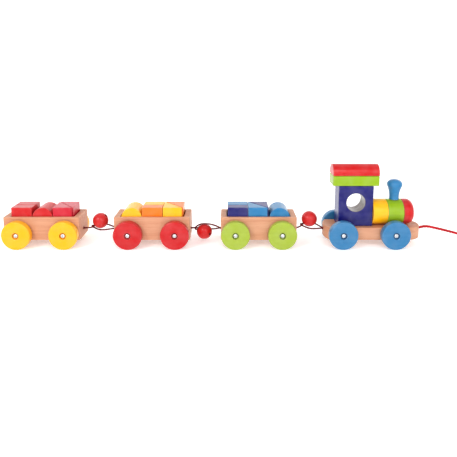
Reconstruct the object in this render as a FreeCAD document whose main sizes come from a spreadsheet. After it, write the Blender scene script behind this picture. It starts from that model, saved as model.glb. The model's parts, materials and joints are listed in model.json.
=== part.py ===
"""Wooden pull along train: a locomotive of stacked blocks and three wagons with building blocks.

Frame: millimetres, +X towards the pull cord, +Y to the train's left side, +Z up. The origin is on the
floor, under the middle of the train. Every wheel stands on the floor, Z = 0.
"""

import FreeCAD, Part
import math
import os
import Sketcher

Vector = FreeCAD.Vector
Rotation = FreeCAD.Rotation

# ---------------------------------------------------------------- driving sizes

SIZES = {
    # wheels and their screws
    "wheel_diameter": 40.0,
    "wheel_thickness": 9.8,
    "wheel_edge_round": 1.6,
    "wheel_bore": 4.12,
    "hub_diameter": 13.0,
    "hub_gap": 0.3,
    "wheel_inner_offset": 1.2,
    "recess_diameter": 9.4,
    "recess_depth": 3.6,
    "recess_round": 0.4,
    "screw_diameter": 4.0,
    "screw_head_diameter": 6.2,
    "screw_head_height": 2.3,
    "screw_head_gap": 0.3,
    "screw_depth": 14.5,
    "pilot_diameter": 3.9,
    "cross_length": 3.9,
    "cross_width": 1.0,
    "cross_depth": 1.1,
    # what all four vehicles share
    "body_width": 40.0,
    "body_clearance": 10.5,
    "edge_round": 0.8,
    "coupling_height": 21.5,
    "coupling_hole": 5.0,
    "coupling_hole_depth": 14.0,
    "coupling_mouth": 0.8,
    # wagons
    "wagon_length": 106.0,
    "wagon_height": 33.0,
    "wagon_corner": 2.0,
    "wagon_wheelbase": 65.0,
    "pocket_length": 90.0,
    "pocket_width": 32.2,
    "pocket_depth": 16.5,
    "pocket_corner": 1.5,
    # building blocks
    "block_length": 28.5,
    "block_half_width": 15.6,
    "block_height": 29.0,
    "block_gap": 0.3,
    # locomotive chassis
    "base_length": 136.6,
    "base_height": 17.8,
    "base_rear_radius": 36.0,
    "base_front_radius": 20.0,
    "base_round": 1.5,
    "loco_rear_axle": 23.5,
    "loco_wheelbase": 72.4,
    # cab and roof
    "stack_gap": 0.2,
    "cab_rear": 18.6,
    "cab_length": 48.4,
    "cab_width": 25.0,
    "cab_height": 57.5,
    "window_diameter": 26.0,
    "window_height": 34.1,
    "roof_overhang": 8.5,
    "roof_length": 64.5,
    "roof_height": 14.2,
    "roof_round": 1.4,
    "bar_side": 2.4,
    # pegs
    "base_peg_diameter": 10.0,
    "base_peg_length": 28.5,
    "base_peg_seat": 12.0,
    "roof_peg_diameter": 8.0,
    "roof_peg_length": 28.5,
    "roof_peg_seat": 7.0,
    "boiler_peg_diameter": 10.0,
    "boiler_peg_length": 64.0,
    "boiler_peg_seat": 12.0,
    "peg_clearance": 0.08,
    "peg_end_gap": 0.8,
    # boiler
    "boiler_diameter": 36.0,
    "rear_disc_length": 20.7,
    "front_disc_length": 21.6,
    "nose_length": 15.7,
    "nose_round": 8.5,
    "disc_round": 0.8,
    # chimney
    "tenon_diameter": 9.0,
    "tenon_length": 8.4,
    "chimney_lead": 1.0,
    "chimney_neck": 13.3,
    "chimney_head": 21.2,
    "chimney_height": 28.8,
    # couplings and pull cord
    "bead_diameter": 22.0,
    "bead_bore": 2.8,
    "bead_recess_bore": 5.0,
    "bead_recess_depth": 5.0,
    "coupling_cord": 1.8,
    "coupling_knot": 4.4,
    "knot_seat_gap": 0.05,
    "pull_bead_bore": 3.8,
    "pull_bead_recess_bore": 5.8,
    "pull_cord": 3.2,
    "coil_outer_radius": 22.4,
    "coil_inner_radius": 12.8,
    "coil_height": 6.2,
}

# Where the middle of each wagon stands on the train's length.
WAGON_MIDDLES = {"wagon_1": -240.0, "wagon_2": -86.1, "wagon_3": 63.1}
LOCO_REAR = 156.4

# What stands in each wagon, as (kind of block, its middle from the wagon's middle).
CARGO = {
    "wagon_1": (("boxes", -28.4), ("cylinder", 0.5), ("prisms", 29.4)),
    "wagon_2": (("cylinder", -28.7), ("boxes", 0.2), ("prisms", 29.2)),
    "wagon_3": (("boxes", -29.1), ("prisms", -0.3), ("cylinder", 29.6)),
}


class Length:
    """A length in millimetres, with the spreadsheet expression that drives it."""

    def __init__(self, number, text=None):
        self.number = number
        self.text = text or str(number)

    def __add__(self, other):
        return Length(self.number + other.number, f"({self.text} + {other.text})")

    def __sub__(self, other):
        return Length(self.number - other.number, f"({self.text} - {other.text})")

    def __mul__(self, share):
        return Length(self.number * share, f"({self.text} * {share})")

    def __truediv__(self, share):
        return Length(self.number / share, f"({self.text} / {share})")

    def __neg__(self):
        return Length(-self.number, f"(-1 * {self.text})")


def size(name):
    return Length(SIZES[name], f"Sizes.{name}")


ZERO = Length(0.0)
document = FreeCAD.newDocument("pull_along_train")
sub_parts = []


def fill_sheet():
    sheet = document.addObject("Spreadsheet::Sheet", "Sizes")
    for row, (name, number) in enumerate(SIZES.items(), start=1):
        sheet.set(f"A{row}", name.replace("_", " "))
        sheet.set(f"B{row}", str(number))
        sheet.setAlias(f"B{row}", name)
    document.recompute()


# ---------------------------------------------------------------- sketches and features


def place(thing, x=ZERO, y=ZERO, z=ZERO, rotation=None):
    """Puts a sub-part in the train's frame; its three distances stay bound to the sheet."""
    if rotation is not None:
        thing.Placement = FreeCAD.Placement(Vector(), rotation)
    for letter, length in (("x", x), ("y", y), ("z", z)):
        thing.setExpression(f"Placement.Base.{letter}", length.text)


def keep(thing, name):
    """Names a finished sub-part, which then gets a file of its own."""
    thing.Label = name
    sub_parts.append(thing)
    return thing


def new_body(name):
    return document.addObject("PartDesign::Body", f"{name}_body")


def own_plane(body, role):
    return next(feature for feature in body.Origin.OriginFeatures if feature.Role == role)


def new_sketch(body, role, offset=ZERO):
    """A sketch on one of the body's own planes, moved along that plane's normal."""
    sketch = body.newObject("Sketcher::SketchObject", "sketch")
    sketch.AttachmentSupport = [(own_plane(body, role), "")]
    sketch.MapMode = "FlatFace"
    sketch.setExpression("AttachmentOffset.Base.z", offset.text)
    return sketch


def pin(sketch, geometry, point, across, up):
    """Drives one point of a sketch to its two distances from the sketch's origin."""
    for kind, axis, length in (("DistanceX", -2, across), ("DistanceY", -1, up)):
        if length.number == 0:
            sketch.addConstraint(Sketcher.Constraint("PointOnObject", geometry, point, axis))
            continue
        distance = Sketcher.Constraint(kind, -1, 1, geometry, point, length.number)
        index = sketch.addConstraint(distance)
        sketch.setExpression(f"Constraints[{index}]", length.text)


def near(number, wanted):
    return abs(number - wanted) < 1e-4


def side_between(start, end, radius):
    """The straight or round side from one corner to the next, and which of its ends comes first.

    A positive radius bulges out of an outline that runs anticlockwise, a negative one into it.
    """
    first = Vector(start[0].number, start[1].number)
    last = Vector(end[0].number, end[1].number)
    if radius is None:
        return Part.LineSegment(first, last), 1, 2
    chord = last - first
    outward = Vector(chord.y, -chord.x).normalize()
    reach = math.sqrt(max(radius.number**2 - chord.Length**2 / 4, 0.0))
    side = math.copysign(1.0, radius.number)
    centre = (first + last) / 2 - outward * side * reach
    circle = Part.Circle(centre, Vector(0, 0, 1), abs(radius.number))
    begin, finish = (first, last) if side > 0 else (last, first)
    angles = [math.atan2(spot.y - centre.y, spot.x - centre.x) for spot in (begin, finish)]
    if angles[1] <= angles[0]:
        angles[1] += 2 * math.pi
    arc = Part.ArcOfCircle(circle, angles[0], angles[1])
    return (arc, 1, 2) if side > 0 else (arc, 2, 1)


def outline(body, role, corners, offset=ZERO):
    """A closed sketch, anticlockwise. A corner is (across, up) or (across, up, radius to the next)."""
    sketch = new_sketch(body, role, offset)
    ends = []
    for index, corner in enumerate(corners):
        radius = corner[2] if len(corner) > 2 else None
        geometry, first, last = side_between(corner, corners[(index + 1) % len(corners)], radius)
        sketch.addGeometry(geometry)
        ends.append((first, last))
    for index, (first, last) in enumerate(ends):
        following = (index + 1) % len(ends)
        joint = Sketcher.Constraint("Coincident", index, last, following, ends[following][0])
        sketch.addConstraint(joint)
    for index, corner in enumerate(corners):
        pin(sketch, index, ends[index][0], corner[0], corner[1])
        if len(corner) > 2:
            bend_side(sketch, index, corner, corners[(index + 1) % len(corners)])
    return sketch


def bend_side(sketch, index, corner, following):
    """Drives a round side by its radius, or a half circle by its centre, level with both its ends."""
    bend = corner[2] if corner[2].number > 0 else -corner[2]
    upright = near(corner[0].number, following[0].number)
    if upright and near(abs(following[1].number - corner[1].number), bend.number * 2):
        constraint, length = Sketcher.Constraint("DistanceX", -1, 1, index, 3, corner[0].number), corner[0]
    elif near(abs(following[0].number - corner[0].number), bend.number * 2):
        constraint, length = Sketcher.Constraint("DistanceY", -1, 1, index, 3, corner[1].number), corner[1]
    else:
        constraint, length = Sketcher.Constraint("Radius", index, bend.number), bend
    added = sketch.addConstraint(constraint)
    sketch.setExpression(f"Constraints[{added}]", length.text)


def circles(body, role, centres, diameter, offset=ZERO):
    sketch = new_sketch(body, role, offset)
    for index, (across, up) in enumerate(centres):
        centre = Vector(across.number, up.number)
        sketch.addGeometry(Part.Circle(centre, Vector(0, 0, 1), diameter.number / 2))
        pin(sketch, index, 3, across, up)
        added = sketch.addConstraint(Sketcher.Constraint("Diameter", index, diameter.number))
        sketch.setExpression(f"Constraints[{added}]", diameter.text)
    return sketch


def rectangle(length, width):
    """The corners of a rectangle about the origin."""
    return [
        (-length / 2, -width / 2),
        (length / 2, -width / 2),
        (length / 2, width / 2),
        (-length / 2, width / 2),
    ]


def pad(body, sketch, length):
    feature = body.newObject("PartDesign::Pad", "pad")
    feature.Profile = sketch
    feature.setExpression("Length", length.text)
    document.recompute()
    return feature


def pocket(body, sketch, depth, along_normal=False):
    """Cuts against the sketch's normal, or along it, and makes sure that something was cut."""
    before = body.Shape.Volume
    feature = body.newObject("PartDesign::Pocket", "pocket")
    feature.Profile = sketch
    feature.Reversed = along_normal
    feature.setExpression("Length", depth.text)
    document.recompute()
    if body.Shape.Volume > before - 0.5:
        raise RuntimeError(f"a pocket in {body.Name} cuts nothing")
    return feature


def revolve(body, sketch, axis):
    feature = body.newObject("PartDesign::Revolution", "revolution")
    feature.Profile = sketch
    feature.ReferenceAxis = (sketch, [axis])
    feature.Angle = 360.0
    document.recompute()
    return feature


def dress_edges(body, kind, measure, length, chosen):
    """Adds a fillet or a chamfer on the edges of the body for which chosen(edge) is true."""
    base = body.Tip
    names = [f"Edge{i}" for i, edge in enumerate(base.Shape.Edges, start=1) if chosen(edge)]
    if not names:
        raise RuntimeError(f"no edge to dress on {body.Name}")
    feature = body.newObject(f"PartDesign::{kind}", kind.lower())
    feature.Base = (base, names)
    feature.setExpression(measure, length.text)
    document.recompute()
    if "Invalid" in feature.State:
        raise RuntimeError(f"{body.Name}: a {kind.lower()} failed, {feature.getStatusString()}")


def round_edges(body, radius, chosen):
    dress_edges(body, "Fillet", "Radius", radius, chosen)


def bevel_edges(body, length, chosen):
    dress_edges(body, "Chamfer", "Size", length, chosen)


def every_edge(edge):
    return True


def is_round(edge):
    return not edge.Degenerated and isinstance(edge.Curve, Part.Circle)


def is_upright(edge):
    bounds = edge.BoundBox
    return bounds.XLength < 1e-4 and bounds.YLength < 1e-4


def ring_of(diameter, axis, distance=None):
    """A test for whole round edges of a diameter, and at a distance along an axis if one is given."""

    def test(edge):
        if not is_round(edge) or not edge.Closed or not near(edge.Curve.Radius * 2, diameter.number):
            return False
        return distance is None or near(getattr(edge.Curve.Center, axis), distance.number)

    return test


def level_edges_at(height):
    """A test for edges that lie all round at one height."""

    def test(edge):
        bounds = edge.BoundBox
        return near(bounds.ZMin, height.number) and near(bounds.ZMax, height.number)

    return test


# ---------------------------------------------------------------- wheels and axle screws

half_body = size("body_width") / 2
wheel_radius = size("wheel_diameter") / 2
wheel_inner = half_body + size("wheel_inner_offset")
wheel_outer = wheel_inner + size("wheel_thickness")
recess_floor = wheel_outer - size("recess_depth")
screw_tip = half_body - size("screw_depth")


def build_wheel(name, middle, side):
    """A turned wheel with a hub boss on its inner face and a recess for the screw's head."""
    bore = size("wheel_bore") / 2
    hub = size("hub_diameter") / 2
    recess = size("recess_diameter") / 2
    hub_face = half_body + size("hub_gap")
    body = new_body(name)
    profile = [
        (bore, hub_face),
        (hub, hub_face),
        (hub, wheel_inner),
        (wheel_radius, wheel_inner),
        (wheel_radius, wheel_outer),
        (recess, wheel_outer),
        (recess, recess_floor),
        (bore, recess_floor),
    ]
    revolve(body, outline(body, "XY_Plane", profile), "V_Axis")
    round_edges(body, size("wheel_edge_round"), ring_of(size("wheel_diameter"), "y"))
    round_edges(body, size("recess_round"), ring_of(size("recess_diameter"), "y", wheel_outer))
    turn = 0 if side == "left" else 180
    place(body, x=middle, z=wheel_radius, rotation=Rotation(Vector(0, 0, 1), turn))
    return keep(body, name)


def build_screw():
    """A pan head screw with a pointed tip and a cross recess, along +Y from the train's middle."""
    shank = size("screw_diameter") / 2
    head = size("screw_head_diameter") / 2
    under_head = recess_floor + size("screw_head_gap")
    head_top = under_head + size("screw_head_height")
    arm = size("cross_length") / 2
    slot = size("cross_width") / 2
    body = new_body("axle_screw")
    profile = [
        (ZERO, screw_tip),
        (shank, screw_tip + shank),
        (shank, under_head),
        (head, under_head),
        (head, head_top),
        (ZERO, head_top),
    ]
    revolve(body, outline(body, "XY_Plane", profile), "V_Axis")
    round_edges(body, size("screw_head_height") / 2, ring_of(size("screw_head_diameter"), "y", head_top))
    cross = []
    for turn in range(4):
        for across, up in ((arm, -slot), (arm, slot), (slot, slot)):
            for _ in range(turn):
                across, up = -up, across
            cross.append((across, up))
    pocket(body, outline(body, "XZ_Plane", cross, -head_top), size("cross_depth"), along_normal=True)
    body.Label = "axle screw pattern"
    return body


def build_screws(name, pattern, middles):
    """One vehicle's four axle screws, which are separate solids of one sub-part."""
    group = document.addObject("Part::Compound", f"{name}_group")
    links = []
    for middle in middles:
        for turn in (0, 180):
            link = document.addObject("App::Link", f"{name}_link")
            link.LinkedObject = pattern
            place(link, x=middle, z=wheel_radius, rotation=Rotation(Vector(0, 0, 1), turn))
            links.append(link)
    group.Links = links
    return keep(group, name)


def build_running_gear(vehicle, pattern, rear_axle, front_axle):
    build_screws(f"{vehicle}_axle_screws", pattern, (rear_axle, front_axle))
    for end, middle in (("rear", rear_axle), ("front", front_axle)):
        for side in ("left", "right"):
            build_wheel(f"{vehicle}_wheel_{end}_{side}", middle, side)


def drill_pilots(body, axles, height):
    """The screws' pilot holes, from both sides of a vehicle's body."""
    centres = [(axle, height) for axle in axles]
    depth = size("screw_depth")
    for offset, along_normal in ((half_body, False), (-half_body, True)):
        sketch = circles(body, "XZ_Plane", centres, size("pilot_diameter"), offset)
        pocket(body, sketch, depth, along_normal)


def drill_coupling(body, face, height, forward):
    """A cord's hole in an end face, with a bevelled mouth."""
    sketch = circles(body, "YZ_Plane", [(ZERO, height)], size("coupling_hole"), face)
    pocket(body, sketch, size("coupling_hole_depth"), along_normal=not forward)


# ---------------------------------------------------------------- wagons and their blocks

axle_height = wheel_radius - size("body_clearance")
cord_height = size("coupling_height") - size("body_clearance")
pocket_floor = size("body_clearance") + size("wagon_height") - size("pocket_depth")


def build_wagon_body(name, middle):
    length, width, height = size("wagon_length"), size("body_width"), size("wagon_height")
    body = new_body(name)
    pad(body, outline(body, "XY_Plane", rectangle(length, width)), height)
    round_edges(body, size("wagon_corner"), is_upright)
    round_edges(body, size("edge_round"), lambda edge: not is_upright(edge) and is_end_edge(edge, height))
    hollow = outline(body, "XY_Plane", rectangle(size("pocket_length"), size("pocket_width")), height)
    pocket(body, hollow, size("pocket_depth"))
    round_edges(body, size("pocket_corner"), lambda edge: is_upright(edge) and in_pocket(edge))
    half_base = size("wagon_wheelbase") / 2
    drill_pilots(body, (-half_base, half_base), axle_height)
    drill_coupling(body, length / 2, cord_height, forward=True)
    drill_coupling(body, -length / 2, cord_height, forward=False)
    mouth = size("coupling_hole")
    for face in (length / 2, -length / 2):
        bevel_edges(body, size("coupling_mouth"), ring_of(mouth, "x", face))
    place(body, x=middle, z=size("body_clearance"))
    return keep(body, name)


def is_end_edge(edge, height):
    """True for the edges round the flat top and bottom of a body."""
    return level_edges_at(height)(edge) or level_edges_at(ZERO)(edge)


def in_pocket(edge):
    middle = edge.BoundBox.Center
    return near(abs(middle.x), SIZES["pocket_length"] / 2)


def build_block(name, plan, height, x, y, z):
    """A block with the given plan outline and softened edges."""
    body = new_body(name)
    pad(body, outline(body, "XY_Plane", plan), height)
    round_edges(body, size("edge_round"), every_edge)
    place(body, x=x, y=y, z=z)
    return keep(body, name)


def build_boxes(wagon, middle, floor):
    """Two half-depth boxes, side by side."""
    length, width = size("block_length"), size("block_half_width")
    out = (width + size("block_gap")) / 2
    for side, y in (("right", -out), ("left", out)):
        name = f"{wagon}_box_{side}"
        build_block(name, rectangle(length, width), size("block_height"), middle, y, floor)


def build_prisms(wagon, middle, floor):
    """Two three-cornered blocks that share one square, split from its rear left to its front right."""
    length = size("block_length") - size("block_gap") * 2
    width = size("block_half_width") * 2 - size("block_gap")
    step = size("block_gap")
    right = [(-length / 2, width / 2), (-length / 2, -width / 2), (length / 2, -width / 2)]
    left = [(length / 2, -width / 2), (length / 2, width / 2), (-length / 2, width / 2)]
    build_block(f"{wagon}_prism_right", right, size("block_height"), middle - step, -step / 2, floor)
    build_block(f"{wagon}_prism_left", left, size("block_height"), middle + step, step / 2, floor)


def build_cylinder(wagon, middle, floor):
    """A cylinder that lies across the wagon."""
    name = f"{wagon}_cylinder"
    radius = size("block_length") / 2
    half = size("block_half_width")
    body = new_body(name)
    profile = [(ZERO, -half), (radius, -half), (radius, half), (ZERO, half)]
    revolve(body, outline(body, "XY_Plane", profile), "V_Axis")
    round_edges(body, size("edge_round"), ring_of(size("block_length"), "y"))
    place(body, x=middle, z=floor + radius)
    return keep(body, name)


def build_wagon(name, middle_number, pattern):
    middle = Length(middle_number)
    half_base = size("wagon_wheelbase") / 2
    build_wagon_body(f"{name}_body", middle)
    build_running_gear(name, pattern, middle - half_base, middle + half_base)
    makers = {"boxes": build_boxes, "prisms": build_prisms, "cylinder": build_cylinder}
    for kind, offset in CARGO[name]:
        makers[kind](name, middle + Length(offset), pocket_floor + size("stack_gap"))


# ---------------------------------------------------------------- locomotive

loco_rear = Length(LOCO_REAR)
base_top = size("body_clearance") + size("base_height")
cab_rear = loco_rear + size("cab_rear")
cab_front = cab_rear + size("cab_length")
cab_middle = cab_rear + size("cab_length") / 2
cab_floor = base_top + size("stack_gap")
cab_top = cab_floor + size("cab_height")
boiler_height = cab_floor + size("boiler_diameter") / 2
rear_disc_start = cab_front + size("stack_gap")
front_disc_start = rear_disc_start + size("rear_disc_length") + size("stack_gap")
nose_start = front_disc_start + size("front_disc_length") + size("stack_gap")
roof_floor = cab_top + size("stack_gap")
bar_floor = roof_floor + size("roof_height") + size("stack_gap")


def build_loco_base(pattern):
    """The chassis plank: shallow arc behind, half circle in front."""
    length, front = size("base_length"), size("base_front_radius")
    rear_bulge = SIZES["base_rear_radius"]
    sagitta = rear_bulge - math.sqrt(rear_bulge**2 - half_body.number**2)
    corner = Length(
        sagitta, "(Sizes.base_rear_radius - sqrt(Sizes.base_rear_radius^2 - Sizes.body_width^2 / 4))"
    )
    plan = [
        (corner, -half_body),
        (length - front, -half_body, front),
        (length - front, half_body),
        (corner, half_body, size("base_rear_radius")),
    ]
    body = new_body("loco_base")
    pad(body, outline(body, "XY_Plane", plan), size("base_height"))
    round_edges(body, size("base_round"), lambda edge: is_end_edge(edge, size("base_height")))
    rear_axle = size("loco_rear_axle")
    axles = (rear_axle, rear_axle + size("loco_wheelbase"))
    drill_pilots(body, axles, axle_height)
    drill_coupling(body, length, cord_height, forward=True)
    drill_coupling(body, ZERO, cord_height, forward=False)
    seat = [(cab_middle - loco_rear, ZERO)]
    sketch = circles(body, "XY_Plane", seat, size("base_peg_diameter"), size("base_height"))
    pocket(body, sketch, size("base_peg_seat"))
    place(body, x=loco_rear, z=size("body_clearance"))
    keep(body, "loco_base")
    build_running_gear("loco", pattern, loco_rear + axles[0], loco_rear + axles[1])


def build_peg(name, diameter, length):
    """A dowel along its own Z with softened ends."""
    body = new_body(name)
    pad(body, circles(body, "XY_Plane", [(ZERO, ZERO)], diameter), length)
    bevel_edges(body, size("edge_round"), ring_of(diameter, "z"))
    return body


def build_pegs():
    """The chassis peg that holds the cab, and the cab's two pegs, for the roof and for the boiler."""
    base_peg = build_peg("base_peg", size("base_peg_diameter"), size("base_peg_length"))
    place(base_peg, x=cab_middle, z=base_top - size("base_peg_seat"))
    keep(base_peg, "loco_base_peg")
    roof_peg = build_peg("roof_peg", size("roof_peg_diameter"), size("roof_peg_length"))
    place(roof_peg, x=cab_middle, z=cab_top - size("roof_peg_seat"))
    boiler_peg = build_peg("boiler_peg", size("boiler_peg_diameter"), size("boiler_peg_length"))
    forward = Rotation(Vector(0, 1, 0), 90)
    place(boiler_peg, x=cab_front - size("boiler_peg_seat"), z=boiler_height, rotation=forward)
    pair = document.addObject("Part::Compound", "cab_pegs_pair")
    pair.Links = [roof_peg, boiler_peg]
    keep(pair, "cab_pegs")


def running_bore(peg):
    return size(peg) + size("peg_clearance") * 2


def build_cab():
    """The cab block, with its through window and the seats of three pegs."""
    length, width, height = size("cab_length"), size("cab_width"), size("cab_height")
    body = new_body("cab")
    pad(body, outline(body, "XY_Plane", rectangle(length, width)), height)
    round_edges(body, size("edge_round"), every_edge)
    window = [(ZERO, size("window_height"))]
    pocket(body, circles(body, "XZ_Plane", window, size("window_diameter"), width / 2), width)
    round_edges(body, size("edge_round"), ring_of(size("window_diameter"), "y"))
    centre = [(ZERO, ZERO)]
    below = circles(body, "XY_Plane", centre, running_bore("base_peg_diameter"))
    rise = size("base_peg_length") - size("base_peg_seat") - size("stack_gap") + size("peg_end_gap")
    pocket(body, below, rise, along_normal=True)
    above = circles(body, "XY_Plane", centre, size("roof_peg_diameter"), height)
    pocket(body, above, size("roof_peg_seat"))
    boiler = [(ZERO, size("boiler_diameter") / 2)]
    ahead = circles(body, "YZ_Plane", boiler, size("boiler_peg_diameter"), length / 2)
    pocket(body, ahead, size("boiler_peg_seat"))
    place(body, x=cab_middle, z=cab_floor)
    keep(body, "cab_block")


def build_roof():
    """The flat roof slab, and the half-round bar on top of it, both threaded on the roof peg."""
    length, width = size("roof_length"), size("cab_width")
    middle = cab_rear - size("roof_overhang") + length / 2
    peg = [(cab_middle - middle, ZERO)]
    bore = running_bore("roof_peg_diameter")
    slab = new_body("roof_slab")
    pad(slab, outline(slab, "XY_Plane", rectangle(length, width)), size("roof_height"))
    round_edges(slab, size("roof_round"), every_edge)
    pocket(slab, circles(slab, "XY_Plane", peg, bore, size("roof_height")), size("roof_height"))
    place(slab, x=middle, z=roof_floor)
    keep(slab, "roof_slab")
    side, radius = size("bar_side"), width / 2
    profile = [(-radius, ZERO), (radius, ZERO), (radius, side, radius), (-radius, side)]
    bar = new_body("roof_bar")
    pad(bar, outline(bar, "YZ_Plane", profile, -length / 2), length)

    def is_bar_edge(edge):
        """True round both ends and along the bottom."""
        return not near(edge.BoundBox.XLength, length.number) or near(edge.BoundBox.ZMax, 0)

    round_edges(bar, size("edge_round"), is_bar_edge)
    stand = size("roof_peg_length") - size("roof_peg_seat") - size("stack_gap") * 2
    depth = stand - size("roof_height") + size("peg_end_gap")
    pocket(bar, circles(bar, "XY_Plane", peg, bore), depth, along_normal=True)
    place(bar, x=middle, z=bar_floor)
    keep(bar, "roof_bar")


def build_disc(name, start, length, front_round):
    """A boiler disc with its peg's bore along X; the bore ends inside the nose."""
    bore = running_bore("boiler_peg_diameter")
    radius = size("boiler_diameter") / 2
    body = new_body(name)
    profile = [(ZERO, ZERO), (length, ZERO), (length, radius), (ZERO, radius)]
    revolve(body, outline(body, "XY_Plane", profile), "H_Axis")
    round_edges(body, size("disc_round"), ring_of(size("boiler_diameter"), "x", ZERO))
    round_edges(body, front_round, ring_of(size("boiler_diameter"), "x", length))
    peg_end = cab_front - size("boiler_peg_seat") + size("boiler_peg_length") + size("peg_end_gap")
    depth = length if (start + length).number < peg_end.number else peg_end - start
    hole = circles(body, "YZ_Plane", [(ZERO, ZERO)], bore)
    pocket(body, hole, depth, along_normal=True)
    place(body, x=start, z=boiler_height)
    return body


def build_boiler():
    """Two discs and the rounded nose; the front disc has the chimney's seat on top."""
    rear = build_disc("rear_disc", rear_disc_start, size("rear_disc_length"), size("disc_round"))
    keep(rear, "boiler_disc_rear")
    length = size("front_disc_length")
    front = build_disc("front_disc", front_disc_start, length, size("disc_round"))
    seat = [(length / 2 + size("chimney_lead"), ZERO)]
    top = size("boiler_diameter") / 2
    tenon = size("tenon_diameter") + size("peg_clearance") * 2
    sketch = circles(front, "XY_Plane", seat, tenon, top)
    pocket(front, sketch, size("tenon_length") + size("peg_end_gap"))
    keep(front, "boiler_disc_front")
    nose = build_disc("nose", nose_start, size("nose_length"), size("nose_round"))
    keep(nose, "boiler_nose")


def dome_radius(reach, rise):
    """The radius of a round cap of the given reach from its axis and the given rise."""
    number = (reach.number**2 + rise.number**2) / (2 * rise.number)
    return Length(number, f"(({reach.text}^2 + {rise.text}^2) / (2 * {rise.text}))")


def build_chimney():
    """A turned chimney: tenon, a neck that widens upwards and a round-topped head."""
    neck, head, tenon = size("chimney_neck") / 2, size("chimney_head") / 2, size("tenon_diameter") / 2
    height = size("chimney_height")
    foot = size("stack_gap")
    crown, shoulder = head * 0.665, height * 0.942
    profile = [
        (ZERO, -size("tenon_length")),
        (tenon, -size("tenon_length")),
        (tenon, foot),
        (neck, foot),
        (neck, height * 0.12, -head * 3.6),
        (head * 0.94, height * 0.66, head * 0.59),
        (crown, shoulder, dome_radius(crown, height - shoulder)),
        (ZERO, height),
    ]
    body = new_body("chimney")
    revolve(body, outline(body, "XZ_Plane", profile), "V_Axis")
    middle = front_disc_start + size("front_disc_length") / 2 + size("chimney_lead")
    place(body, x=middle, z=boiler_height + size("boiler_diameter") / 2)
    keep(body, "chimney")


# ---------------------------------------------------------------- cords and beads


def cord_tube(route, diameter):
    """A tube along straight runs joined by tangent arcs.

    An arc's radius is 0.45 of the shorter run, divided by the tangent of half the turn.
    """
    points = [Vector(*point) for point in route]
    pieces, radii = [], []
    start, long = points[0], 0.0
    for before, corner, after in zip(points, points[1:], points[2:]):
        back, ahead = before - corner, after - corner
        trim = 0.45 * min(back.Length, ahead.Length)
        back.normalize()
        ahead.normalize()
        turn = math.pi - back.getAngle(ahead)
        radius = trim / math.tan(turn / 2)
        first = corner + back * trim
        pieces.append(straight_tube(start, first, diameter))
        pieces.append(bent_tube(first, -back, ahead, radius, turn, diameter))
        long += (first - start).Length + radius * turn
        radii.append(radius)
        start = corner + ahead * trim
    pieces.append(straight_tube(start, points[-1], diameter))
    long += (points[-1] - start).Length
    tube = pieces[0].multiFuse(pieces[1:]).removeSplitter()
    share = tube.Volume / (math.pi * diameter**2 / 4 * long)
    print(f"  cord {long:.1f} long, radii {[round(r, 1) for r in radii]}, volume {share:.4f}")
    if abs(share - 1) > 0.01 or len(tube.Solids) != 1:
        raise RuntimeError("a cord's tube has the wrong volume")
    return tube


def straight_tube(start, end, diameter):
    along = end - start
    return Part.makeCylinder(diameter / 2, along.Length, start, along)


def bent_tube(start, heading, leaving, radius, turn, diameter):
    """A round tube that turns from one heading to another about a circle of the given radius."""
    axis = heading.cross(leaving).normalize()
    centre = start + axis.cross(heading).normalize() * radius
    ring = Part.Wire([Part.Circle(start, heading, diameter / 2).toShape()])
    return Part.Face(ring).revolve(centre, axis, math.degrees(turn))


def keep_shape(name, shape):
    feature = document.addObject("Part::Feature", f"{name}_shape")
    feature.Shape = shape
    return keep(feature, name)


def knot(spot, diameter):
    return Part.makeSphere(diameter / 2, Vector(*spot))


def build_bead(name, centre, axis, bore, recess_bore):
    """A ball with a cord's bore, wider at the end where the knot sits; axis points out of that end."""
    radius = size("bead_diameter") / 2
    ball = document.addObject("Part::Sphere", f"{name}_ball")
    ball.setExpression("Radius", radius.text)
    narrow = document.addObject("Part::Cylinder", f"{name}_bore")
    narrow.setExpression("Radius", (bore / 2).text)
    narrow.setExpression("Height", size("bead_diameter").text)
    narrow.setExpression("Placement.Base.z", (-radius).text)
    wide = document.addObject("Part::Cylinder", f"{name}_recess")
    wide.setExpression("Radius", (recess_bore / 2).text)
    wide.setExpression("Height", radius.text)
    wide.setExpression("Placement.Base.z", (radius - size("bead_recess_depth")).text)
    bores = document.addObject("Part::Fuse", f"{name}_bores")
    bores.Base, bores.Tool = narrow, wide
    bead = document.addObject("Part::Cut", f"{name}_cut")
    bead.Base, bead.Tool = ball, bores
    bead.Placement = FreeCAD.Placement(Vector(*centre), Rotation(Vector(0, 0, 1), Vector(*axis)))
    return keep(bead, name)


# How far behind a bead's middle its cord's route has a point, as a share of the bead's radius.
BORE_POINT = 0.364

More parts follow.
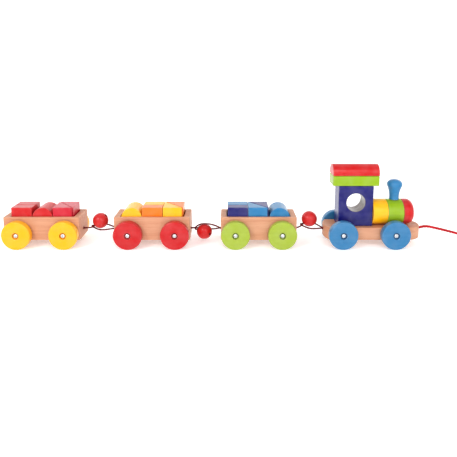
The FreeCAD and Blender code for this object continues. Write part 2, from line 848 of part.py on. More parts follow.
# Each coupling: the bead's middle and the direction of its bore, the cord's route from the wagon
# behind into the bead, and the loop's route round the cord, from the vehicle in front and back.
COUPLINGS = {
    "coupling_1": {
        "bead": (-162.5, 0.0, 32.6),
        "axis": (0.745, 0.0, 0.667),
        "cord": [
            (-188.4, 0.0, 21.5),
            (-184.5, 0.0, 21.6),
            (-179.0, 0.0, 21.9),
            (-174.6, 0.0, 22.6),
            (-171.3, 0.0, 24.8),
        ],
        "loop": [
            (-138.9, -1.0, 21.5),
            (-144.5, -1.8, 21.2),
            (-151.0, -3.0, 20.5),
            (-158.0, -4.6, 20.2),
            (-165.0, -4.4, 20.6),
            (-169.8, -2.9, 22.4),
            (-173.6, -2.2, 23.9),
            (-175.4, 0.0, 25.4),
            (-173.4, 2.4, 24.0),
            (-170.2, 6.6, 23.6),
            (-163.6, 9.6, 23.6),
            (-156.2, 8.4, 24.3),
            (-150.0, 4.8, 24.0),
            (-144.6, 2.2, 22.6),
            (-138.9, 1.0, 21.5),
        ],
    },
    "coupling_2": {
        "bead": (-13.8, 0.0, 16.4),
        "axis": (0.764, -0.623, -0.171),
        "cord": [
            (-34.5, 0.0, 21.5),
            (-31.0, 1.2, 21.2),
            (-27.2, 4.2, 20.4),
            (-24.4, 7.4, 19.2),
            (-22.0, 6.7, 18.25),
        ],
        "loop": [
            (10.2, -1.0, 21.5),
            (6.0, -1.5, 23.6),
            (0.6, -2.0, 26.4),
            (-6.4, -3.0, 28.3),
            (-13.6, -3.2, 29.0),
            (-19.6, -2.6, 28.0),
            (-24.4, -1.6, 25.0),
            (-26.8, 0.6, 21.8),
            (-27.0, 3.4, 18.4),
            (-25.4, 7.2, 16.6),
            (-22.2, 10.8, 15.9),
            (-14.2, 12.8, 16.2),
            (-6.6, 10.4, 16.6),
            (-0.6, 6.2, 17.8),
            (5.0, 2.6, 19.8),
            (10.2, 1.0, 21.5),
        ],
    },
    "coupling_3": {
        "bead": (136.6, 0.0, 35.2),
        "axis": (0.745, 0.0, 0.667),
        "cord": [
            (114.7, 0.0, 21.5),
            (117.8, 0.0, 21.6),
            (121.4, 0.0, 22.6),
            (124.6, 0.0, 24.4),
            (127.8, 0.0, 27.3),
        ],
        "loop": [
            (156.2, -1.0, 21.5),
            (151.6, -1.7, 21.4),
            (146.0, -2.8, 21.4),
            (140.0, -4.4, 21.8),
            (134.6, -4.4, 22.8),
            (129.6, -3.1, 24.6),
            (125.6, -2.2, 26.2),
            (123.8, 0.0, 27.8),
            (125.8, 2.4, 26.4),
            (129.0, 6.6, 26.0),
            (135.4, 9.6, 26.6),
            (142.2, 8.2, 27.0),
            (148.0, 4.4, 25.6),
            (152.6, 2.2, 23.2),
            (156.2, 1.0, 21.5),
        ],
    },
}

# The pull cord leaves the nose hole, rises a little, and comes down to the floor and its coil.
PULL_CORD = [
    (284.0, 0.0, 21.5),
    (293.5, 0.0, 21.8),
    (303.5, 0.0, 24.6),
    (319.0, 0.0, 21.3),
    (335.0, 0.0, 17.3),
    (350.0, 0.0, 13.3),
    (363.0, 0.0, 8.6),
    (374.0, 0.0, 3.6),
    (384.0, 0.0, 1.65),
    (391.0, 0.4, 1.6),
]
COIL_MIDDLE = (397.0, 21.0)


def build_coupling(name, facts):
    diameter, ball = SIZES["coupling_cord"], SIZES["coupling_knot"]
    axis = Vector(*facts["axis"]).normalize()
    centre = Vector(*facts["bead"])
    radius = SIZES["bead_diameter"] / 2
    build_bead(f"{name}_bead", facts["bead"], axis, size("bead_bore"), size("bead_recess_bore"))
    seat = radius - SIZES["bead_recess_depth"] + ball / 2 + SIZES["knot_seat_gap"]
    seat_spot = centre + axis * seat
    inside = centre - axis * (radius * BORE_POINT)
    route = facts["cord"] + [tuple(inside), tuple(seat_spot)]
    print(name)
    cord = cord_tube(route, diameter)
    for spot in (facts["cord"][0], tuple(seat_spot)):
        cord = cord.fuse(knot(spot, ball))
    keep_shape(f"{name}_cord", cord.removeSplitter())
    loop = cord_tube(facts["loop"], diameter)
    first, last = (Vector(*facts["loop"][index]) for index in (0, -1))
    loop = loop.fuse(knot((first + last) / 2, ball))
    keep_shape(f"{name}_loop", loop.removeSplitter())


def build_pull_cord():
    print("pull cord")
    keep_shape("pull_cord", cord_tube(PULL_CORD, SIZES["pull_cord"]))
    outer, inner, height = size("coil_outer_radius"), size("coil_inner_radius"), size("coil_height")
    coil = new_body("pull_cord_coil")
    profile = [(inner, ZERO), (outer, ZERO), (outer, height), (inner, height)]
    revolve(coil, outline(coil, "XZ_Plane", profile), "V_Axis")
    round_edges(coil, size("pull_cord") / 2, every_edge)
    across, back = (Length(number) for number in COIL_MIDDLE)
    place(coil, x=across, y=back)
    keep(coil, "pull_cord_coil")
    lift = SIZES["bead_diameter"] / 2
    bores = (size("pull_bead_bore"), size("pull_bead_recess_bore"))
    build_bead("pull_bead", (*COIL_MIDDLE, lift), (-1.0, 0.0, 0.0), *bores)


# ---------------------------------------------------------------- the whole train


def check_everything():
    for thing in document.Objects:
        if "Invalid" in thing.State or "Error" in thing.State:
            raise RuntimeError(f"{thing.Name} failed: {thing.State}")
    labels = [thing.Label for thing in sub_parts]
    if len(set(labels)) != len(labels):
        raise RuntimeError("two sub-parts share a name")
    for thing in sub_parts:
        shape = thing.Shape
        if shape.isNull() or not shape.isValid() or not shape.Solids:
            raise RuntimeError(f"{thing.Label} has no valid solid")


def main():
    fill_sheet()
    screw = build_screw()
    for name, middle in WAGON_MIDDLES.items():
        build_wagon(name, middle, screw)
    build_loco_base(screw)
    build_pegs()
    build_cab()
    build_roof()
    build_boiler()
    build_chimney()
    for name, facts in COUPLINGS.items():
        build_coupling(name, facts)
    build_pull_cord()
    document.recompute()
    check_everything()
    os.makedirs("parts", exist_ok=True)
    for thing in sub_parts:
        thing.Shape.exportStep(f"parts/{thing.Label}.step")
    print(f"{len(sub_parts)} sub-parts written")


main()
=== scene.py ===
# Looks of the wooden pull along train: lacquered beech blocks, wheels and beads, bare beech wagons,
# nickel screws and twisted cords, in a white studio. Metres, in the frame of the CAD model.

import json
import math

import bmesh
import bpy
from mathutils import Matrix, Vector


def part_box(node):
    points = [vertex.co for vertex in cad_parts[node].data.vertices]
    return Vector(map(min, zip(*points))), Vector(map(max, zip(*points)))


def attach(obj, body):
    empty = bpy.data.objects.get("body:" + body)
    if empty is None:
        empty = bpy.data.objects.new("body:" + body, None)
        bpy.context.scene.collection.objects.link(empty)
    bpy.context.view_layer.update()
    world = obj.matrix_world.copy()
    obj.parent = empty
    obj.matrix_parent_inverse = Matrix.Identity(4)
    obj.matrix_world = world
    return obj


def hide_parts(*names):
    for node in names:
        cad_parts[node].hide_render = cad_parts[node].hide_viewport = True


MM = 0.001

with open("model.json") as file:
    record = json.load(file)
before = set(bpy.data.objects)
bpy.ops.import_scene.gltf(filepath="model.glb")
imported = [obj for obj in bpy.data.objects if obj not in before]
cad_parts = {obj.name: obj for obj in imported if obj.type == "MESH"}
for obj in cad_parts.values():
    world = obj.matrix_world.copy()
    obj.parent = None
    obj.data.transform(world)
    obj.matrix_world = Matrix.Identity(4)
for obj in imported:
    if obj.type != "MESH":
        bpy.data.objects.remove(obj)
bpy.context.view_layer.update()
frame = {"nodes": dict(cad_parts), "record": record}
nodes = frame["nodes"]
scene = bpy.context.scene


# ---------------------------------------------------------------- camera


def make_camera():
    """The photograph's view of the train's right side: from twice the roof's height, 9 degrees down."""
    data = bpy.data.cameras.new("camera")
    data.sensor_width = 36.0
    data.lens = 37.3
    data.shift_y = -0.191
    data.clip_start = 0.01
    data.clip_end = 20.0
    camera = bpy.data.objects.new("camera", data)
    camera.location = (0.0209, -0.6532, 0.2511)
    camera.rotation_euler = (math.radians(90.0 - 9.0), 0.0, 0.0)
    scene.collection.objects.link(camera)
    scene.camera = camera


# ---------------------------------------------------------------- cords


def smooth_line(points, name):
    """Points close together on the NURBS curve that has these control points."""
    curve = bpy.data.curves.new(name, "CURVE")
    curve.dimensions = "3D"
    curve.resolution_u = 8
    spline = curve.splines.new("NURBS")
    spline.points.add(len(points) - 1)
    for control, point in zip(spline.points, points):
        control.co = (*point, 1.0)
    spline.order_u = 3
    spline.use_endpoint_u = True
    holder = bpy.data.objects.new(name, curve)
    mesh = bpy.data.meshes.new_from_object(holder)
    line = [vertex.co.copy() for vertex in mesh.vertices]
    bpy.data.objects.remove(holder)
    bpy.data.meshes.remove(mesh)
    bpy.data.curves.remove(curve)
    return line


def evenly(line, step):
    """The same line with its points a step apart."""
    spots = [line[0].copy()]
    need = step
    for a, b in zip(line, line[1:]):
        long = (b - a).length
        while long > 1e-9 and need <= long:
            spots.append(a.lerp(b, need / long))
            need += step
        need -= long
    if (line[-1] - spots[-1]).length > step * 0.4:
        spots.append(line[-1].copy())
    return spots


def headings(line, closed=False):
    """The line's direction at each of its points."""
    count = len(line)
    found = []
    for index in range(count):
        if closed:
            before, after = line[index - 1], line[(index + 1) % count]
        else:
            before, after = line[max(index - 1, 0)], line[min(index + 1, count - 1)]
        found.append((after - before).normalized())
    return found


def turning_frames(line):
    """A side direction for each point of the line that doesn't twist about it."""
    along = headings(line)
    side = along[0].orthogonal().normalized()
    frames = []
    for heading in along:
        side = (side - heading * side.dot(heading)).normalized()
        frames.append((side.copy(), heading.cross(side)))
    return frames


def sweep(mesh, line, frames, radius, sides, closed=False):
    """Adds a round tube along the line, with round ends unless it is closed."""
    rings = []
    for spot, (side, up) in zip(line, frames):
        ring = []
        for step in range(sides):
            turn = 2 * math.pi * step / sides
            ring.append(mesh.verts.new(spot + (side * math.cos(turn) + up * math.sin(turn)) * radius))
        rings.append(ring)
    pairs = list(zip(rings, rings[1:]))
    if closed:
        pairs.append((rings[-1], rings[0]))
    for ring, following in pairs:
        for step in range(sides):
            after = (step + 1) % sides
            mesh.faces.new((ring[step], ring[after], following[after], following[step]))
    if not closed:
        close_end(mesh, rings[0][::-1], line[0], line[0] - line[1], radius)
        close_end(mesh, rings[-1], line[-1], line[-1] - line[-2], radius)


def close_end(mesh, ring, middle, outwards, radius):
    """A low dome over an end ring."""
    outwards = outwards.normalized()
    inner = []
    for vertex in ring:
        inner.append(mesh.verts.new(middle.lerp(vertex.co, 0.7) + outwards * radius * 0.7))
    tip = mesh.verts.new(middle + outwards * radius)
    count = len(ring)
    for step in range(count):
        after = (step + 1) % count
        mesh.faces.new((ring[step], ring[after], inner[after], inner[step]))
        mesh.faces.new((inner[step], inner[after], tip))


def strands_along(mesh, line, width, pitch, sides):
    """Twists soft strands, pressed together, round the line into a cord of the given width."""
    share = 1 / (1 + 1 / math.sin(math.pi / STRANDS))
    radius = width / 2 * share * STRAND_SQUASH
    off = width / 2 - radius
    frames = turning_frames(line)
    for strand in range(STRANDS):
        far = 0.0
        middle = []
        for index, (spot, (side, up)) in enumerate(zip(line, frames)):
            if index:
                far += (spot - line[index - 1]).length
            turn = 2 * math.pi * (far / pitch + strand / STRANDS)
            middle.append(spot + (side * math.cos(turn) + up * math.sin(turn)) * off)
        sweep(mesh, middle, turning_frames(middle), radius, sides)


def knot_at(mesh, centre, width, thickness):
    """A tight overhand knot, as a closed trefoil."""
    reach = (width - thickness) / 2 / 3
    line = []
    steps = 60
    for step in range(steps):
        turn = 2 * math.pi * step / steps
        across = math.sin(turn) + 2 * math.sin(2 * turn)
        up = math.cos(turn) - 2 * math.cos(2 * turn)
        line.append(Vector(centre) + Vector((across, -1.6 * math.sin(3 * turn), up)) * reach)
    frames = []
    for spot, heading in zip(line, headings(line, closed=True)):
        outwards = spot - Vector(centre)
        side = (outwards - heading * outwards.dot(heading)).normalized()
        frames.append((side, heading.cross(side)))
    sweep(mesh, line, frames, thickness / 2, 8, closed=True)


def finished_mesh(mesh, name):
    """The bmesh as a smooth-shaded object in the scene."""
    bmesh.ops.recalc_face_normals(mesh, faces=mesh.faces)
    for face in mesh.faces:
        face.smooth = True
    data = bpy.data.meshes.new(name)
    mesh.to_mesh(data)
    mesh.free()
    piece = bpy.data.objects.new(name, data)
    scene.collection.objects.link(piece)
    return piece


# The pull cord: out of the nose, over a low rise, down to the floor, and on to its coil.
PULL_CORD = [
    (0.2840, 0.0, 0.0215),
    (0.2935, 0.0, 0.0218),
    (0.3035, 0.0, 0.0246),
    (0.3190, 0.0, 0.0213),
    (0.3350, 0.0, 0.0173),
    (0.3500, 0.0, 0.0133),
    (0.3630, 0.0, 0.0086),
    (0.3740, 0.0, 0.0036),
    (0.3840, 0.0, 0.00165),
    (0.3910, 0.0004, 0.0016),
]
PULL_DIAMETER = 0.0032

# A cord's strands bulge past its plain diameter, so it is drawn a little wider than the CAD's.
STRANDS = 3
STRAND_SQUASH = 1.33
PULL_WIDTH = 0.0037
PULL_PITCH = 0.0125
PULL_STEP = 0.0006
PULL_KNOT_WIDTH = 0.0052
PULL_KNOT_CORD = 0.0019
COUPLING_WIDTH = 0.0022
COUPLING_PITCH = 0.0052
COUPLING_STEP = 0.0004
KNOT_WIDTH = 0.0044
KNOT_CORD = 0.0012

# The pull cord's coil. A turn in the second layer lies in the groove between two below it.
TICKS_PER_TURN = 18
TICKS_LAST_TURN = 16
SHIFT_FROM = 0.75
LAYER_RISE = 0.87

# From a bead's far face in to the middle of the knot in its recess, and from its middle to where
# a coupling's cord runs straight along the bore.
PULL_KNOT_INSET = 0.0028
KNOT_INSET = 0.00275
BORE_RUN = 0.004


def coil_points():
    """The coil's turns from the lead-in on: three on the floor, then two on top of them.

    Each turn moves over to the next one in its last quarter.
    """
    low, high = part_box("pull_cord_coil")
    middle = (low + high) / 2
    outer = (high.x - low.x) / 2 - PULL_DIAMETER / 2
    floor = PULL_DIAMETER / 2
    upper = floor + PULL_DIAMETER * LAYER_RISE
    step = PULL_DIAMETER
    turns = [(outer, floor), (outer - step, floor), (outer - 2 * step, floor)]
    turns += [(outer - 1.5 * step, upper), (outer - 0.5 * step, upper)]
    points = []
    for index, (radius, height) in enumerate(turns):
        following = turns[min(index + 1, len(turns) - 1)]
        last = index == len(turns) - 1
        for tick in range(TICKS_LAST_TURN if last else TICKS_PER_TURN):
            share = max(0.0, (tick / TICKS_PER_TURN - SHIFT_FROM) / (1 - SHIFT_FROM))
            reach = radius + (following[0] - radius) * share
            rise = height + (following[1] - height) * share
            angle = 2 * math.pi * (tick / TICKS_PER_TURN - 0.25)
            points.append((middle.x + reach * math.cos(angle), middle.y + reach * math.sin(angle), rise))
    return points


def lead_to_bead():
    """From the top turn, round and up into the bead, to the knot at its far end."""
    low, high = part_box("pull_bead")
    x, y, z = (low + high) / 2
    knot = low.x + PULL_KNOT_INSET
    return [
        (x + 0.0085, y - 0.0178, 0.0052),
        (x + 0.0168, y - 0.0142, 0.0072),
        (x + 0.0212, y - 0.0080, 0.0092),
        (x + 0.0202, y - 0.0012, z - 0.0002),
        (x + 0.0145, y, z),
        (x + 0.0050, y, z),
        (knot, y, z),
    ]


def build_pull_cord(material):
    """The pull cord from the nose to its bead, resting on the floor, with the knot in the bead."""
    control = PULL_CORD + coil_points() + lead_to_bead()
    line = evenly(smooth_line(control, "pull_cord_line"), PULL_STEP)
    for spot in line:
        spot.z = max(spot.z, PULL_WIDTH / 2)
    mesh = bmesh.new()
    strands_along(mesh, line, PULL_WIDTH, PULL_PITCH, sides=8)
    piece = finished_mesh(mesh, "pull_cord_rope")
    piece.data.materials.append(material)
    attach(piece, "chassis")
    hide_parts("pull_cord", "pull_cord_coil")
    knot = bmesh.new()
    knot_at(knot, line[-1], PULL_KNOT_WIDTH, PULL_KNOT_CORD)
    end = finished_mesh(knot, "pull_cord_knot")
    end.data.materials.append(material)
    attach(end, "chassis")


# Each coupling: its bead, the cord from the wagon behind into the bead, and the loop from the
# vehicle in front that is caught round that cord.
COUPLINGS = {
    "coupling_1": {
        "axis": (0.745, 0.0, 0.667),
        "cord": [
            (-0.1884, 0.0, 0.0215),
            (-0.1845, 0.0, 0.0216),
            (-0.1790, 0.0, 0.0219),
            (-0.1746, 0.0, 0.0226),
            (-0.1713, 0.0, 0.0248),
        ],
        "loop": [
            (-0.1389, -0.0010, 0.0215),
            (-0.1445, -0.0018, 0.0212),
            (-0.1510, -0.0030, 0.0205),
            (-0.1580, -0.0046, 0.0202),
            (-0.1650, -0.0044, 0.0206),
            (-0.1698, -0.0029, 0.0224),
            (-0.1736, -0.0022, 0.0239),
            (-0.1754, 0.0, 0.0254),
            (-0.1734, 0.0024, 0.0240),
            (-0.1702, 0.0066, 0.0236),
            (-0.1636, 0.0096, 0.0236),
            (-0.1562, 0.0084, 0.0243),
            (-0.1500, 0.0048, 0.0240),
            (-0.1446, 0.0022, 0.0226),
            (-0.1389, 0.0010, 0.0215),
        ],
    },
    "coupling_2": {
        "axis": (0.764, -0.623, -0.171),
        "cord": [
            (-0.0345, 0.0, 0.0215),
            (-0.0310, 0.0012, 0.0212),
            (-0.0272, 0.0042, 0.0204),
            (-0.0244, 0.0074, 0.0192),
            (-0.0220, 0.0067, 0.01825),
        ],
        "loop": [
            (0.0102, -0.0010, 0.0215),
            (0.0060, -0.0015, 0.0236),
            (0.0006, -0.0020, 0.0264),
            (-0.0064, -0.0030, 0.0283),
            (-0.0136, -0.0032, 0.0290),
            (-0.0196, -0.0026, 0.0280),
            (-0.0244, -0.0016, 0.0250),
            (-0.0268, 0.0006, 0.0218),
            (-0.0270, 0.0034, 0.0184),
            (-0.0254, 0.0072, 0.0166),
            (-0.0222, 0.0108, 0.0159),
            (-0.0142, 0.0128, 0.0162),
            (-0.0066, 0.0104, 0.0166),
            (-0.0006, 0.0062, 0.0178),
            (0.0050, 0.0026, 0.0198),
            (0.0102, 0.0010, 0.0215),
        ],
    },
    "coupling_3": {
        "axis": (0.745, 0.0, 0.667),
        "cord": [
            (0.1147, 0.0, 0.0215),
            (0.1178, 0.0, 0.0216),
            (0.1214, 0.0, 0.0226),
            (0.1246, 0.0, 0.0244),
            (0.1278, 0.0, 0.0273),
        ],
        "loop": [
            (0.1562, -0.0010, 0.0215),
            (0.1516, -0.0017, 0.0214),
            (0.1460, -0.0028, 0.0214),
            (0.1400, -0.0044, 0.0218),
            (0.1346, -0.0044, 0.0228),
            (0.1296, -0.0031, 0.0246),
            (0.1256, -0.0022, 0.0262),
            (0.1238, 0.0, 0.0278),
            (0.1258, 0.0024, 0.0264),
            (0.1290, 0.0066, 0.0260),
            (0.1354, 0.0096, 0.0266),
            (0.1422, 0.0082, 0.0270),
            (0.1480, 0.0044, 0.0256),
            (0.1526, 0.0022, 0.0232),
            (0.1562, 0.0010, 0.0215),
        ],
    },
}


def build_coupling(name, facts, material):
    """The cord and the loop of one coupling, as twisted cords with tight knots at their ends."""
    low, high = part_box(f"{name}_bead")
    centre = (low + high) / 2
    axis = Vector(facts["axis"]).normalized()
    seat = centre + axis * ((high.x - low.x) / 2 - KNOT_INSET)
    route = facts["cord"] + [tuple(centre - axis * BORE_RUN), tuple(seat)]
    cord = bmesh.new()
    line = evenly(smooth_line(route, f"{name}_line"), COUPLING_STEP)
    strands_along(cord, line, COUPLING_WIDTH, COUPLING_PITCH, sides=6)
    knot_at(cord, facts["cord"][0], KNOT_WIDTH, KNOT_CORD)
    knot_at(cord, seat, KNOT_WIDTH, KNOT_CORD)
    loop = bmesh.new()
    line = evenly(smooth_line(facts["loop"], f"{name}_loop_line"), COUPLING_STEP)
    strands_along(loop, line, COUPLING_WIDTH, COUPLING_PITCH, sides=6)
    knot_at(loop, (line[0] + line[-1]) / 2, KNOT_WIDTH, KNOT_CORD)
    for mesh, part in ((cord, "cord"), (loop, "loop")):
        piece = finished_mesh(mesh, f"{name}_{part}_twisted")
        piece.data.materials.append(material)
        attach(piece, name)
        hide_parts(f"{name}_{part}")


# ---------------------------------------------------------------- materials


def linear(code):
    """A colour written as six hex digits of sRGB, in the linear values that shaders use."""
    values = [int(code[index:index + 2], 16) / 255 for index in (0, 2, 4)]
    return [v / 12.92 if v <= 0.04045 else ((v + 0.055) / 1.055) ** 2.4 for v in values] + [1.0]


class Finish:
    """A material's node tree with short ways to add nodes to it."""

    def __init__(self, name):
        self.material = bpy.data.materials.new(name)
        self.material.use_nodes = True
        self.tree = self.material.node_tree
        self.tree.nodes.clear()
        self.shader = self.add("ShaderNodeBsdfPrincipled")
        output = self.add("ShaderNodeOutputMaterial")
        self.tree.links.new(self.shader.outputs["BSDF"], output.inputs["Surface"])
        self.place = self.add("ShaderNodeTexCoord").outputs["Object"]

    def add(self, kind):
        return self.tree.nodes.new(kind)

    def put(self, node, socket, value):
        """Sets a socket to a value, or links an output to it."""
        if isinstance(value, bpy.types.NodeSocket):
            self.tree.links.new(value, node.inputs[socket])
        else:
            node.inputs[socket].default_value = value

    def stretched(self, stretch):
        """The place on the object, scaled apart along each axis."""
        node = self.add("ShaderNodeMapping")
        self.put(node, "Vector", self.place)
        self.put(node, "Scale", stretch)
        return node.outputs["Vector"]

    def noise(self, place, scale, detail=3.0, roughness=0.55, distortion=0.0):
        node = self.add("ShaderNodeTexNoise")
        self.put(node, "Vector", place)
        self.put(node, "Scale", scale)
        self.put(node, "Detail", detail)
        self.put(node, "Roughness", roughness)
        self.put(node, "Distortion", distortion)
        return node.outputs["Fac"]

    def span(self, value, low, high, to_low=0.0, to_high=1.0):
        """The value's range from low to high, spread over another range and held at its ends."""
        node = self.add("ShaderNodeMapRange")
        self.put(node, "Value", value)
        self.put(node, "From Min", low)
        self.put(node, "From Max", high)
        self.put(node, "To Min", to_low)
        self.put(node, "To Max", to_high)
        return node.outputs["Result"]

    def math(self, operation, first, second=0.0):
        node = self.add("ShaderNodeMath")
        node.operation = operation
        for socket, value in ((0, first), (1, second)):
            self.put(node, socket, value)
        return node.outputs["Value"]

    def mix(self, share, first, second):
        """Two colours mixed by a share."""
        node = self.add("ShaderNodeMix")
        node.data_type = "RGBA"
        self.put(node, 0, share)
        self.put(node, 6, first)
        self.put(node, 7, second)
        return node.outputs[2]

    def bump(self, height, distance, strength=1.0, before=None):
        node = self.add("ShaderNodeBump")
        self.put(node, "Height", height)
        self.put(node, "Distance", distance)
        self.put(node, "Strength", strength)
        if before is not None:
            self.put(node, "Normal", before)
        return node.outputs["Normal"]

    def edge_share(self, reach):
        """Where the surface bends within reach: 1 on a sharp edge, 0 on a flat."""
        bevel = self.add("ShaderNodeBevel")
        bevel.samples = 4
        self.put(bevel, "Radius", reach)
        geometry = self.add("ShaderNodeNewGeometry")
        dot = self.add("ShaderNodeVectorMath")
        dot.operation = "DOT_PRODUCT"
        self.put(dot, 0, bevel.outputs["Normal"])
        self.put(dot, 1, geometry.outputs["Normal"])
        return self.span(dot.outputs["Value"], 1.0, 0.88)


# How far from a sharp edge its wear reaches.
WORN_REACH = 0.0009


def along_grain(direction, squeeze=0.045):
    """A stretch that draws a pattern out along the grain, which runs along x or z."""
    return tuple(squeeze if name == direction else 1.0 for name in "xyz")


def bare_and_shaded_bore(finish, mount):
    """The share of bare wood with painted shade: 1 inside a bored hole that goes through along Y, and 0
    outside it.
    """
    x, _, z = mount["pos_m"]
    radius = mount["dims"]["r_mm"] * MM
    parts = finish.add("ShaderNodeSeparateXYZ")
    finish.put(parts, "Vector", finish.place)
    across = finish.math("SUBTRACT", parts.outputs["X"], x)
    up = finish.math("SUBTRACT", parts.outputs["Z"], z)
    square = finish.math("ADD", finish.math("MULTIPLY", across, across), finish.math("MULTIPLY", up, up))
    return finish.span(finish.math("SQRT", square), radius + 0.0002, radius + 0.0006, 1.0, 0.0)


def lacquer(name, code, deep, bore=None):
    """Gloss paint on beech: the grain shows faintly, and the edges are a little worn and paler."""
    finish = Finish(name)
    shader = finish.shader
    grain_place = finish.stretched(along_grain("x"))
    fine = finish.noise(grain_place, 1500.0, 4.0, 0.6)
    broad = finish.noise(grain_place, 260.0, 2.0)
    cloud = finish.noise(finish.place, 70.0, 2.0)
    speck = finish.noise(finish.place, 2600.0, 2.0)
    colour = finish.mix(finish.span(broad, 0.3, 0.7, 0.0, 0.34), linear(code), linear(deep))
    colour = finish.mix(finish.span(fine, 0.55, 0.8, 0.0, 0.30), colour, linear(deep))
    colour = finish.mix(finish.span(cloud, 0.35, 0.7, 0.0, 0.03), colour, (1.0, 1.0, 1.0, 1.0))
    edge = finish.edge_share(WORN_REACH)
    worn = finish.math("MULTIPLY", edge, finish.span(cloud, 0.42, 0.66, 0.10, 0.34))
    colour = finish.mix(worn, colour, (1.0, 0.93, 0.86, 1.0))
    # Inside the cab's bored window: bare wood, painted darker and greyer than the beech as the shade inside
    # the hole.
    if bore is not None:
        wood = finish.mix(finish.span(broad, 0.3, 0.7), linear("8f857f"), linear("6e6561"))
        colour = finish.mix(bare_and_shaded_bore(finish, bore), colour, wood)
    finish.put(shader, "Base Color", colour)
    rough = finish.span(fine, 0.3, 0.75, 0.30, 0.42)
    rough = finish.math("ADD", rough, finish.math("MULTIPLY", edge, 0.10))
    finish.put(shader, "Roughness", rough)
    finish.put(shader, "IOR", 1.3)
    finish.put(shader, "Coat Weight", 0.8)
    finish.put(shader, "Coat IOR", 1.33)
    finish.put(shader, "Coat Roughness", 0.2)
    relief = finish.bump(fine, 0.00004, 0.5)
    relief = finish.bump(speck, 0.000012, 0.5, relief)
    finish.put(shader, "Normal", relief)
    return finish


def bare_beech(name, grain):
    """Oiled beech: pale pinkish wood, growth bands, short dark ray flecks and a satin feel."""
    finish = Finish(name)
    shader = finish.shader
    grain_place = finish.stretched(along_grain(grain))
    flecks = finish.noise(grain_place, 2100.0, 2.0, 0.5)
    bands = finish.noise(grain_place, 330.0, 3.0, 0.55, 0.4)
    broad = finish.noise(grain_place, 90.0, 2.0)
    fibre = finish.noise(finish.stretched(along_grain(grain, 0.012)), 5200.0, 2.0)
    colour = finish.mix(finish.span(broad, 0.32, 0.68), linear("cd987a"), linear("c48a6a"))
    colour = finish.mix(finish.span(bands, 0.42, 0.68, 0.0, 0.55), colour, linear("b87a5c"))
    colour = finish.mix(finish.span(flecks, 0.60, 0.72, 0.0, 0.55), colour, linear("a8663f"))
    colour = finish.mix(finish.span(fibre, 0.35, 0.7, 0.0, 0.16), colour, linear("f6cba9"))
    edge = finish.edge_share(WORN_REACH)
    colour = finish.mix(finish.math("MULTIPLY", edge, 0.25), colour, linear("f8dcc4"))
    finish.put(shader, "Base Color", colour)
    finish.put(shader, "Roughness", finish.span(bands, 0.3, 0.7, 0.42, 0.56))
    finish.put(shader, "IOR", 1.48)
    finish.put(shader, "Coat Weight", 0.12)
    finish.put(shader, "Coat Roughness", 0.3)
    relief = finish.bump(fibre, 0.00003, 0.6)
    relief = finish.bump(flecks, 0.00005, 0.6, relief)
    finish.put(shader, "Normal", relief)
    return finish


def nickel(name):
    """A plated screw: bright metal with fine scratches and a dull film."""
    finish = Finish(name)
    shader = finish.shader
    film = finish.noise(finish.place, 700.0, 3.0)
    scratch = finish.noise(finish.stretched((1.0, 1.0, 0.05)), 9000.0, 2.0)
    colour = finish.mix(finish.span(film, 0.35, 0.7), linear("e4e5e6"), linear("bfc2c6"))
    finish.put(shader, "Base Color", colour)
    finish.put(shader, "Metallic", 1.0)
    finish.put(shader, "Roughness", finish.span(film, 0.3, 0.7, 0.16, 0.32))
    finish.put(shader, "Normal", finish.bump(scratch, 0.000008, 0.5))
    return finish


def yarn(name, code, deep, sheen):
    """Spun and dyed cotton: fibres, uneven dye and a soft edge."""
    finish = Finish(name)
    shader = finish.shader
    fibre = finish.noise(finish.stretched((0.35, 1.0, 1.0)), 6500.0, 3.0, 0.6)
    dye = finish.noise(finish.place, 420.0, 3.0)
    colour = finish.mix(finish.span(dye, 0.35, 0.68), linear(code), linear(deep))
    colour = finish.mix(finish.span(fibre, 0.5, 0.75, 0.0, 0.45), colour, linear(deep))
    finish.put(shader, "Base Color", colour)
    finish.put(shader, "Roughness", finish.span(fibre, 0.3, 0.7, 0.62, 0.85))
    finish.put(shader, "Sheen Weight", sheen)
    finish.put(shader, "Sheen Roughness", 0.45)
    finish.put(shader, "Normal", finish.bump(fibre, 0.00009, 0.8))
    return finish


PAINTS = {
    "red": ("c61115", "ac090d"),
    "crimson": ("c61130", "ac0b24"),
    "orange": ("e87b0c", "d46305"),
    "yellow": ("f6b902", "eda301"),
    "wheel_yellow": ("f4b102", "ea9e01"),
    "wheel_red": ("bf1118", "a60a0f"),
    "wheel_green": ("9eb03c", "899b2d"),
    "wheel_blue": ("387ba8", "2b6795"),
    "green": ("90b00e", "7f9f0a"),
    "navy": ("16156e", "0f0e54"),
    "light_blue": ("227bae", "176696"),
}


def make_materials():
    """Every finish by the name of its material slot in the CAD."""
    window = next(mount for mount in frame["record"]["mounts"] if mount["name"] == "cab_window")
    made = {}
    for name, codes in PAINTS.items():
        made[name] = lacquer(name, *codes, bore=window if name == "navy" else None).material
    made["beech"] = bare_beech("beech", "x").material
    made["peg"] = bare_beech("peg", "z").material
    made["nickel"] = nickel("nickel").material
    made["cord_dark"] = yarn("cord_dark", "7c0c18", "520810", 0.0).material
    made["cord_red"] = yarn("cord_red", "d20f1f", "980612", 0.05).material
    return made


def dress_nodes(made):
    """Gives every CAD node the finish of its own material slot."""
    for node in nodes.values():
        for place in node.material_slots:
            name = place.material.name.split(".")[0]
            place.material = made[name]


# ---------------------------------------------------------------- studio

WORLD_STRENGTH = 0.5
FLOOR_GLOW = 0.27
KEY_POWER = 2.4
FILL_POWER = 1.5
TOP_POWER = 2.0
LAMP_POWER = 3.8


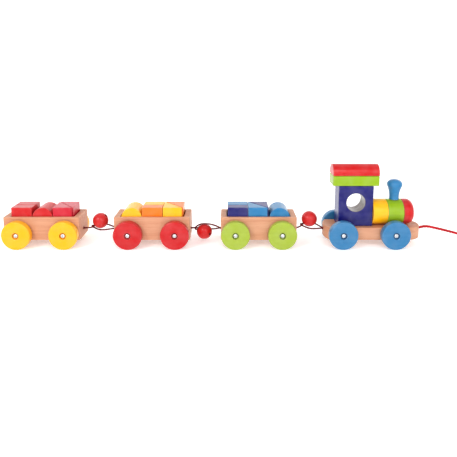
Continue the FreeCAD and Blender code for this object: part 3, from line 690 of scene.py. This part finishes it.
def make_floor():
    """A seamless white bowl: a wide round floor that curves up into a wall on every side."""
    mesh = bmesh.new()
    middle, flat, bend, wall_top = 0.5, 2.4, 1.2, 3.2
    steps, around = 12, 72
    profile = [(middle, 0.0), (flat, 0.0)]
    for step in range(1, steps + 1):
        turn = math.pi / 2 * step / steps
        profile.append((flat + bend * math.sin(turn), bend * (1 - math.cos(turn))))
    profile.append((flat + bend, wall_top))
    rings = []
    for reach, z in profile:
        turns = [2 * math.pi * step / around for step in range(around)]
        rings.append([mesh.verts.new((reach * math.cos(turn), reach * math.sin(turn), z)) for turn in turns])
    mesh.faces.new(rings[0])
    for ring, following in zip(rings, rings[1:]):
        for step in range(around):
            after = (step + 1) % around
            mesh.faces.new((ring[step], ring[after], following[after], following[step]))
    floor = finished_mesh(mesh, "studio_floor")
    finish = Finish("studio_white")
    tone = finish.noise(finish.place, 3.0, 2.0)
    colour = finish.mix(tone, (0.93, 0.93, 0.93, 1.0), (0.95, 0.95, 0.95, 1.0))
    finish.put(finish.shader, "Base Color", colour)
    finish.put(finish.shader, "Roughness", 0.9)
    finish.put(finish.shader, "Emission Color", (1.0, 1.0, 1.0, 1.0))
    finish.put(finish.shader, "Emission Strength", FLOOR_GLOW)
    floor.data.materials.append(finish.material)


def area_light(name, place, target, width, height, power):
    """A soft box that faces its target."""
    data = bpy.data.lights.new(name, "AREA")
    data.shape = "RECTANGLE"
    data.size = width
    data.size_y = height
    data.energy = power
    light = bpy.data.objects.new(name, data)
    light.location = place
    light.rotation_euler = (Vector(target) - Vector(place)).to_track_quat("-Z", "Y").to_euler()
    scene.collection.objects.link(light)


def make_lights():
    """An even white sky over the bowl, soft boxes in front and above, and two small lamps for sparkle."""
    world = bpy.data.worlds.new("studio")
    world.use_nodes = True
    background = world.node_tree.nodes["Background"]
    background.inputs["Color"].default_value = (1.0, 1.0, 1.0, 1.0)
    background.inputs["Strength"].default_value = WORLD_STRENGTH
    scene.world = world
    train = (0.06, 0.0, 0.03)
    area_light("key", (-0.7, -1.3, 1.1), train, 0.9, 0.9, KEY_POWER)
    area_light("fill", (0.9, -1.5, 0.7), train, 1.0, 1.0, FILL_POWER)
    area_light("top", (0.0, 0.3, 1.6), train, 1.6, 1.0, TOP_POWER)
    area_light("lamp_left", (-0.75, -0.9, 0.95), train, 0.2, 0.2, LAMP_POWER)
    area_light("lamp_right", (0.35, -1.2, 0.95), train, 0.2, 0.2, LAMP_POWER * 0.7)
    scene.view_settings.view_transform = "Standard"
    scene.view_settings.look = "Medium High Contrast"


# ---------------------------------------------------------------- the whole scene


make_camera()
materials = make_materials()
build_pull_cord(materials["cord_red"])
for coupling, coupling_facts in COUPLINGS.items():
    build_coupling(coupling, coupling_facts, materials["cord_dark"])
dress_nodes(materials)
make_floor()
make_lights()
